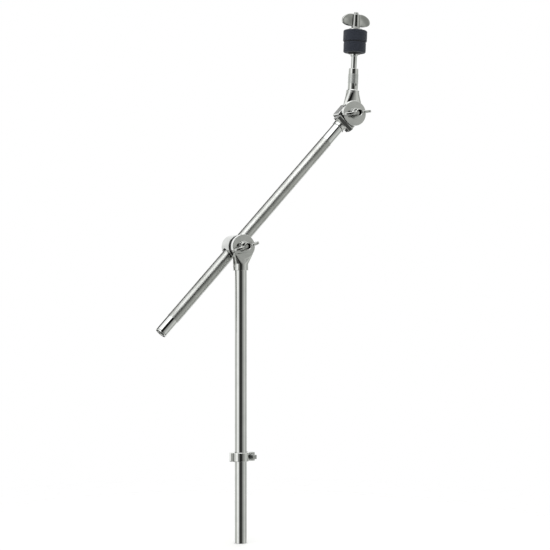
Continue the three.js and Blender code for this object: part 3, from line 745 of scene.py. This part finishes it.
def build_barrel():
    boom_axis = (BOOM_Y, 0)
    slot_half, slot_r = 4.5, EYE_OUTER + CLEAR  # the slot that the eye sits in

    def field(p):
        bell = cylinder(p, "Y", 17.8, -20, 36.5, 5.6)
        bell = soft_max(bell, 5.3 - p[1], 0.9)
        body = np.minimum(bell, cylinder(p, "Y", 15.5, 0.9, 12, 0.5))
        body = carve(0.8, body, bore(p, "X", EYE_INNER, -40, 40, boom_axis))
        return carve(
            0.3, body,
            bore(p, "X", slot_r, -slot_half, slot_half, boom_axis),
            box(p, (-slot_half, -5, -slot_r), (slot_half, BOOM_Y, slot_r), 0.1),
            bore(p, "Y", 8, -5, 3.9),  # room for the spring
        )

    barrel = casting(field, (-17.9, 0.8, -17.9), (17.9, 36.6, 17.9))
    piece("boom_barrel_fine", "boom_barrel", barrel, BOOM, BARREL_CHROME, "boom_clamp")

    eye = about("X", ring_shape(EYE_INNER, EYE_OUTER, -4.2, 4.2, 0.5), (0, BOOM_Y, 0))
    shank = about("Y", threaded(BOLT_R, -22.5, 9.6))
    piece("eye_bolt_fine", "eye_bolt", joined(eye, shank), BOOM, ZINC, "boom_clamp")
    brake = about("Y", ring_shape(8, 17.2, -4.4, 0.6, 0.4))
    piece("brake_ring_fine", "brake_ring", brake, BOOM, FIBRE, "boom_clamp")
    spring = about("Y", coil(0.65, 5.6, -3.7, 3.1, turns=3))
    piece("tilter_spring_fine", "tilter_spring", spring, BOOM, SPRING, "boom_clamp")

    inner, outer, end, fillet = 9.7, 10.55, 13.8, 0.2
    slit = 0.1  # half its width, in radians
    section = filleted([(inner, -end, fillet), (outer, -end, fillet), (outer, end, fillet),
                        (inner, end, fillet)], ring=True)
    rings = [[(t, r * math.cos(a), r * math.sin(a)) for r, t in section]
             for a in np.linspace(math.pi / 2 + slit, 2.5 * math.pi - slit, 90)]
    bush = about("X", skin(rings), (0, BOOM_Y, 0))
    piece("boom_bush_fine", "boom_bush", bush, BOOM, NYLON, "boom_liner")


# ---- boom
def boom_tube():
    """The boom about X: bright ends, and between them a diamond knurl of shallow pyramids."""
    sides, start, end = 96, BOOM_LOW, BOOM_HIGH
    knurl_start, knurl_end = -149.0, PIVOT - 60.0
    step = math.pi * BOOM_R / sides * 1.25
    count = 2 * int((knurl_end - knurl_start) / step / 2)
    valley, peak, plain = BOOM_R - 0.12, BOOM_R, BOOM_R - 0.06
    inner = BOOM_R - WALL
    before = [(inner, start + 0.4), (inner + 0.3, start), (plain - 0.4, start),
              (plain - 0.12, start + 0.12), (plain, start + 0.45), (plain, start + 1),
              (plain, knurl_start - 0.6), (plain, knurl_start - 0.5)]
    after = [(plain, knurl_end + 0.5), (plain, knurl_end + 0.6), (plain, end - 1), (plain, end - 0.45),
             (plain - 0.12, end - 0.12), (plain - 0.4, end), (inner + 0.3, end), (inner, end - 0.4)]
    rings = [around(r, t, sides) for r, t in before]
    crest = [np.ones(sides)] * len(before)
    odd = np.arange(sides) % 2
    for j, along in enumerate(np.linspace(knurl_start, knurl_end, count + 1)):
        high = (odd + j) % 2 * (0 < j < count)
        rings.append(around(valley + (peak - valley) * high, along, sides))
        crest.append(high.astype(float))
    rings += [around(r, t, sides) for r, t in after]
    crest += [np.ones(sides)] * len(after)
    rings = np.array(rings)
    index = np.arange(len(rings) * sides).reshape(len(rings), sides).tolist()
    faces, facets = [], []
    first, last = len(before), len(before) + count
    for j, lower in enumerate(index):
        upper = index[(j + 1) % len(index)]
        for i in range(sides):
            k = (i + 1) % sides
            a, b, c, d = lower[i], lower[k], upper[k], upper[i]
            if first <= j < last:
                facets += [len(faces), len(faces) + 1]
                faces += [(a, b, c), (a, c, d)] if (i + j - first) % 2 == 0 else [(a, b, d), (b, c, d)]
            else:
                faces.append((a, b, c, d))
    return Shape(rings.reshape(-1, 3), faces, facets=facets), np.concatenate(crest)


def build_boom():
    shape, crest = boom_tube()
    tube = about("X", shape, (0, BOOM_Y, 0))
    tube = piece("boom_tube_fine", "boom_tube", tube, BOOM, KNURL, "boom").data
    tube.attributes.new("crest", "FLOAT", "POINT").data.foreach_set("value", crest)
    tube.materials.append(CHROME)
    for i, polygon in enumerate(tube.polygons):
        if i not in shape.facets:
            polygon.material_index = 1

    cap = turned([(4.2, -176.4, 0), (5.0, -176.4, 0.3), (5.4, -177, 0.3), (8.4, -177, 0.4),
                  (9.2, -176.2, 0.5), (9.2, -175, 0.2), (7.8, -175, 0.1), (7.8, -164, 0.1), (6.8, -163, 0.1),
                  (3, -163, 0)])
    piece("boom_end_cap_fine", "boom_end_cap", about("X", cap, (0, BOOM_Y, 0)), BOOM, CHROME, "boom")
    pin = about("Y", rod_shape(PIN_R, -9.1, 9.1, 0.35, 48), (PIVOT + BOOM_PIN_X, BOOM_Y, 0))
    piece("boom_head_pin_fine", "boom_head_pin", pin, BOOM, ZINC, "boom")


def build_boom_head():
    boom_axis = (BOOM_Y, 0)
    radius, half_width = 17.6, 17.1  # of the paddle, which is round at its far end
    middle_y, half_depth = 22.75, 9.85
    bar_low, bar_high = (-24.6, 5.2, -15.2), (-18.6, BOOM_Y, 15.2)
    slope_x = -20.6  # from here the bar's front slopes back to the boom

    def field(p):
        x, y, z = p
        slab = np.maximum(np.abs(z) - half_width, np.maximum(-radius - x, x))
        arch = np.where(x > 0, np.hypot(x, z) - radius, slab)
        flat = np.maximum(arch, rounded(np.abs(z) - half_width, -radius - x, 2.0))
        paddle = rounded(flat, np.abs(y - middle_y) - half_depth, 1.1)
        ferrule = cone(p, "X", (10.2, 11.6), -30, -14, 0.5, boom_axis)
        spigot = cylinder(p, "X", 7.8, -60, -20, 0.5, boom_axis)
        bar = box(p, bar_low, bar_high, 0.5)
        bar = soft_max(bar, (-x + slope_x + bar_low[1] - y) / math.sqrt(2), 0.4)
        body = np.minimum(fuse(0.8, fuse(1.5, paddle, ferrule), bar), spigot)
        return carve(
            0.3, body,
            bore(p, "Y", BOLT_HOLE_R, -40, 60),
            bore(p, "Y", 6.2, 0, 18.6),  # room for the spring
            bore(p, "Y", 19.8, -10, 12.9),  # room for the rod head's disc
            bore(p, "Y", PIN_R + CLEAR, 0, 60, (BOOM_PIN_X, 0)),
        )

    head = casting(field, (-60.2, 5.0, -17.4), (17.8, 32.8, 17.4))
    piece("boom_head_fine", "boom_head", head, HEAD, CAST_CHROME, "boom")


# ---- cymbal tilter
def build_cymbal_tilter():
    seat = 32.9  # the bolt's head lies on the paddle's back
    head = turned([(3, seat + 4, 0), (5.2, seat + 3.1, 1.5), (7.5, seat + 1.4, 0.4), (7.5, seat, 0.2),
                   (3, seat, 0)])
    shank = threaded(BOLT_R, -8, seat + 0.4)
    bolt = joined(about("Y", head), about("Y", shank))
    piece("cymbal_bolt_fine", "cymbal_tilter_bolt", bolt, HEAD, ZINC, "boom")
    brake = about("Y", ring_shape(6.2, 17.3, 10.9, 12.6, 0.3))
    piece("cymbal_brake_fine", "cymbal_brake_ring", brake, HEAD, FIBRE, "boom")
    spring = about("Y", coil(0.55, 5.1, 7.4, 17.8, turns=4))
    piece("cymbal_spring_fine", "cymbal_tilter_spring", spring, HEAD, SPRING, "boom")


def build_rod_head():
    rod_axis = (0, ROD_Y)
    front, back = ROD_DISC
    ring_r = 10.9
    satin_low, satin_high = 47, 62.5  # the brushed band round the sleeve

    def field(p):
        disc = cylinder(p, "Y", 19.5, front, back, 0.6)
        web = bowed_neck(p, (18.3, 4.6, back, 6), (ring_r, ROD_Y, 33))
        ring = cylinder(p, "Z", ring_r, 32, 36.5, 0.8, rod_axis)
        sleeve = cone(p, "Z", (8.5, 7.9), 33, 70.8, 0.8, rod_axis)
        body = fuse(0.7, fuse(0.5, web, ring), disc)
        body = fuse(1.5, body, sleeve)
        return carve(
            0.35, body,
            bore(p, "Y", 17.6, back, 60),  # room for the brake ring
            bore(p, "Y", 24.8, 12.6, 60),  # room for the boom's head
            bore(p, "Y", BOLT_HOLE_R, -40, 60),
            bore(p, "Y", 6.2, 6.4, 60),  # room for the spring
            bore(p, "Z", 5.1, 41.7, 100, rod_axis),
            bore(p, "Y", 2.3, -40, ROD_Y, (0, SET_SCREW_Z)),
        )

    head = casting(field, (-19.6, 2.6, -19.6), (19.6, 25.2, 70.9))
    mesh = piece("rod_head_fine", "rod_head", head, ROD_HEAD, CAST_CHROME, "cymbal_holder").data
    mesh.materials.append(SATIN)
    heights = head.points[:, 2]
    for polygon in mesh.polygons:
        if all(satin_low < heights[v] < satin_high for v in polygon.vertices):
            polygon.material_index = 1

    def screw(p):
        """A stud with a hexagon socket, 2 mm across its flats."""
        hexagon = np.abs(p[0]) - 1
        for turn in (math.pi / 3, 2 * math.pi / 3):
            hexagon = np.maximum(hexagon, np.abs(math.cos(turn) * p[0] + math.sin(turn) * p[2]) - 1)
        socket = np.maximum(hexagon, p[1] - 7.5)
        return carve(0.1, cylinder(p, "Y", 2, 5.9, 9.5, 0.3), socket)

    stud = casting(screw, (-2.1, 5.8, -2.1), (2.1, 9.6, 2.1), 0.14)
    stud.points[:, 2] += SET_SCREW_Z
    piece("set_screw_fine", "rod_set_screw", stud, ROD_HEAD, ZINC, "cymbal_holder")


# ---- cymbal rod, felts and top nut
def felt_shape(radius, start, end, seed):
    """A felt washer about X, its edges soft and its sides slightly uneven."""
    bore_r, bore_fillet, fillet, spacing, sides = 6.5, 0.8, 2.0, 0.7, 168
    profile = filleted([(bore_r, start, bore_fillet), (radius, start, fillet), (radius, end, fillet),
                        (bore_r, end, bore_fillet)], ring=True, steps=6)
    fine = []
    for a, b in zip(profile, profile[1:] + profile[:1]):
        parts = max(1, round(math.dist(a, b) / spacing))
        fine += [(a[0] + (b[0] - a[0]) * i / parts, a[1] + (b[1] - a[1]) * i / parts)
                 for i in range(parts)]
    shape = skin([around(r, t, sides) for r, t in fine], closed=True)
    middle = (start + end) / 2
    for i, point in enumerate(shape.points):
        if math.hypot(point[1], point[2]) <= bore_r + 1:
            continue
        out = Vector((0, point[1], point[2])).normalized()
        lump = noise.fractal(Vector(point) * 0.16 + Vector((seed, 0, 0)), 0.8, 2.1, 3)
        fuzz = noise.fractal(Vector(point) * 0.9 + Vector((0, seed, 0)), 0.7, 2.0, 4)
        shape.points[i] += np.array(out) * (0.14 * lump + 0.16 * fuzz - 0.12)
        shape.points[i][0] += (0.1 * fuzz) * (-1 if point[0] > middle else 1)
    return shape


def build_rod():
    stem_r, collar_r = 4.8, 6.2
    stem = turned([(3.5, 42, 0), (stem_r, 42, 0.4), (stem_r, 89.6, 0.8), (collar_r, 90.8, 0.3),
                   (collar_r, 93.6, 0.4), (3.0, 93.6, 0)], sides=72)
    thread = threaded(THREAD_R, 93.2, 159.6, 0.9)
    rod = joined(about("Z", stem), about("Z", thread))
    piece("cymbal_rod_fine", "cymbal_rod", rod, ROD, CHROME, "cymbal_holder")

    bore_r = THREAD_R + CLEAR
    cup = turned([(bore_r, 93.9, 0.2), (9.2, 93.9, 0.9), (10.8, 94.7, 0.5), (10.8, 95.6, 0.25),
                  (9.6, 95.6, 0.25), (9.0, 94.8, 0.4), (bore_r, 94.8, 0.2)], ring=True)
    piece("cup_washer_fine", "cup_washer", about("Z", cup), ROD, NYLON, "cymbal_holder")
    sleeve = about("Z", ring_shape(bore_r, 6.2, 95.1, 129.5, 0.4, 72))
    piece("cymbal_sleeve_fine", "cymbal_sleeve", sleeve, ROD, NYLON, "cymbal_holder")

    for node, radius, start, end, seed, body in (
        ("lower_felt", 17.6, 95.9, 112.5, 3, "cymbal_holder"),
        ("upper_felt", 18.7, 112.8, 130.8, 11, "top_seat"),
    ):
        shape = about("Z", felt_shape(radius, start, end, seed))
        felt = piece(node + "_fine", node, shape, ROD, FELT, body, sharp=180)

    washer = about("Z", ring_shape(bore_r, 11.5, 131.1, 133.1, 0.5))
    piece("top_washer_fine", "top_washer", washer, ROD, CHROME, "top_seat")
    nut = wing_nut(reach=24.4, root=3.6, tall=23.4, saddle=23.4, hub_tall=23)
    nut.points[:, 2] += 133.4
    piece("top_nut_fine", "top_wing_nut", nut, ROD, NUT_CHROME, "top_nut")


build_post()
build_lock()
build_post_head()
build_barrel()
build_tilter_nut(TILTER, turn=16.5, disc_front=POST_DISC[0], reach=21.7,
                 nodes=("tilter_washer", "tilter_wing_nut"), bodies=("tilter_seat", "tilter_nut"))
build_boom()
build_boom_head()
build_cymbal_tilter()
build_tilter_nut(Place(turn=BOOM_ANGLE, parent=HEAD), turn=8, disc_front=ROD_DISC[0], reach=24,
                 nodes=("cymbal_tilter_washer", "cymbal_tilter_wing_nut"),
                 bodies=("cymbal_tilter_seat", "cymbal_tilter_nut"))
build_rod_head()
build_rod()

# ---- camera, in metres
CAMERA_AZIMUTH = math.radians(-25)
CAMERA_DISTANCE = 2.4
CAMERA_HEIGHT = 0.4026
FRAME_WIDTH = 0.827  # width of the picture at the post
SENSOR_MM = 36.0
OFFSET_RIGHT = 0.0514  # from the post to the picture's middle
RIGHT = Vector((math.cos(CAMERA_AZIMUTH), math.sin(CAMERA_AZIMUTH), 0))
BACK = Vector((math.sin(CAMERA_AZIMUTH), -math.cos(CAMERA_AZIMUTH), 0))


def make_camera():
    data = bpy.data.cameras.new("camera")
    data.sensor_width = SENSOR_MM
    data.lens = SENSOR_MM * CAMERA_DISTANCE / FRAME_WIDTH
    camera = bpy.data.objects.new("camera", data)
    camera.location = RIGHT * OFFSET_RIGHT + BACK * CAMERA_DISTANCE + Vector((0, 0, CAMERA_HEIGHT))
    camera.rotation_euler = (math.pi / 2, 0, CAMERA_AZIMUTH)
    bpy.context.scene.collection.objects.link(camera)
    bpy.context.scene.camera = camera


# ---- studio
# The studio's walls, going round from behind the object by way of its left: (degrees, grey out of 255).
WALLS = ((-180, 255), (-134, 255), (-122, 200), (-100, 180), (-86, 190), (-70, 228), (-58, 255), (-44, 255),
         (-33, 150), (-24, 120), (-12, 95), (-6, 8), (11, 8), (18, 85), (30, 120), (42, 163), (52, 166),
         (63, 200), (88, 204), (102, 165), (116, 150), (126, 200), (134, 255), (180, 255))
WHITE = 250  # greys from here up are the white walls
# Dark screens: (left and right edge in degrees, lower and upper edge as a sine, grey out of 255).
SCREENS = ((-190, -135, -0.90, -0.20, 70), (-165, -105, 0.45, 0.80, 60), (4, 37, 0.17, 0.62, 20),
           (-70, 20, -1.10, -0.60, 70))
SCREEN_SOFT, SCREEN_SOFT_HIGH = 0.006, 0.03  # how soft their edges are, in turns and as a sine
BRIGHT = 1.05  # strength of the white walls and ceiling
TINT = (0.985, 1.0, 0.96)  # the walls are very slightly green


def turn_share(degrees):
    return (degrees + 180) / 360


def painted(grey):
    """The linear colour of a grey wall or screen."""
    value = grey / 255
    level = value / 12.92 if value <= 0.04045 else ((value + 0.055) / 1.055) ** 2.4
    return (*(level * t for t in TINT), 1)


def make_studio():
    world = bpy.data.worlds.new("studio")
    bpy.context.scene.world = world
    world.use_nodes = True
    tree = world.node_tree
    tree.nodes.clear()
    new, link = tree.nodes.new, tree.links.new
    way = new("ShaderNodeTexCoord").outputs["Generated"]

    def along(axis):
        dot = new("ShaderNodeVectorMath")
        dot.operation = "DOT_PRODUCT"
        dot.inputs[1].default_value = axis
        link(way, dot.inputs[0])
        return dot.outputs["Value"]

    def maths(operation, first, second=None, third=None):
        node = new("ShaderNodeMath")
        node.operation = operation
        for socket, value in zip(node.inputs, (first, second, third)):
            if value is None:
                continue
            if isinstance(value, (int, float)):
                socket.default_value = value
            else:
                link(value, socket)
        return node.outputs["Value"]

    turn = maths("ARCTAN2", along(RIGHT), along(BACK))
    share = maths("MULTIPLY_ADD", turn, 1 / (2 * math.pi), 0.5)
    walls = new("ShaderNodeValToRGB")
    stops = walls.color_ramp.elements
    while len(stops) < len(WALLS):
        stops.new(0.5)
    bright = (BRIGHT, BRIGHT, BRIGHT, 1)
    for stop, (degrees, grey) in zip(stops, WALLS):
        stop.position = turn_share(degrees)
        stop.color = painted(grey) if grey < WHITE else bright
    link(share, walls.inputs["Fac"])

    def ranged(value, start, end):
        node = new("ShaderNodeMapRange")
        node.inputs["From Min"].default_value = start
        node.inputs["From Max"].default_value = end
        link(value, node.inputs["Value"])
        return node.outputs["Result"]

    def within(value, low, high, soft):
        return maths("MULTIPLY", ranged(value, low - soft, low + soft),
                     ranged(value, high + soft, high - soft))

    height = along((0, 0, 1))
    room = mixed(tree, walls.outputs["Color"], bright, ranged(height, 0.5, 0.75))  # a white ceiling
    for left, right, low, high, grey in SCREENS:
        across = within(share, turn_share(left), turn_share(right), SCREEN_SOFT)
        upward = within(height, low, high, SCREEN_SOFT_HIGH)
        room = mixed(tree, room, painted(grey), maths("MULTIPLY", across, upward))

    seen = new("ShaderNodeLightPath").outputs["Is Camera Ray"]
    glow = new("ShaderNodeBackground")
    link(mixed(tree, room, (1, 1, 1, 1), seen), glow.inputs["Color"])
    link(glow.outputs["Background"], new("ShaderNodeOutputWorld").inputs["Surface"])


def make_floor():
    """A pale round floor that fades out before its edge, a hair below the post's end."""
    count, rings, step, drop = 64, 45, 0.02, 0.0004
    fade_start, fade_end = 0.12, 0.8
    points = [(step * i * math.cos(a), step * i * math.sin(a), -drop)
              for i in range(1, rings + 1) for a in np.arange(count) * math.pi / 32]
    faces = [tuple(range(count))]
    for i in range(rings - 1):
        for k in range(count):
            a, b = i * count + k, i * count + (k + 1) % count
            faces.append((a, a + count, b + count, b))
    mesh = bpy.data.meshes.new("floor")
    mesh.from_pydata(points, [], faces)
    material, tree, inputs, place = blank("floor", 0.0)
    inputs["Base Color"].default_value = (0.92, 0.92, 0.91, 1)
    inputs["Roughness"].default_value = 0.9
    inputs["Emission Color"].default_value = (1, 1, 1, 1)
    inputs["Emission Strength"].default_value = 0.22
    length = tree.nodes.new("ShaderNodeVectorMath")
    length.operation = "LENGTH"
    tree.links.new(place, length.inputs[0])
    fade = tree.nodes.new("ShaderNodeMapRange")
    fade.interpolation_type = "SMOOTHSTEP"
    for socket, value in (("From Min", fade_start), ("From Max", fade_end), ("To Min", 1.0), ("To Max", 0.0)):
        fade.inputs[socket].default_value = value
    tree.links.new(length.outputs["Value"], fade.inputs["Value"])
    tree.links.new(fade.outputs["Result"], inputs["Alpha"])
    mesh.materials.append(material)
    floor = bpy.data.objects.new("floor", mesh)
    floor.visible_glossy = False
    bpy.context.scene.collection.objects.link(floor)


def make_lamp(name, energy, size, place, target):
    data = bpy.data.lights.new(name, "AREA")
    data.energy = energy
    data.size = size
    lamp = bpy.data.objects.new(name, data)
    lamp.location = place
    lamp.rotation_euler = (Vector(target) - Vector(place)).to_track_quat("-Z", "Y").to_euler()
    lamp.visible_camera = False
    bpy.context.scene.collection.objects.link(lamp)


make_camera()
make_studio()
make_floor()
make_lamp("overhead", 6.0, 1.4, (-0.4, -0.8, 1.9), (0.05, 0, 0.4))
bpy.context.scene.view_settings.view_transform = "Standard"
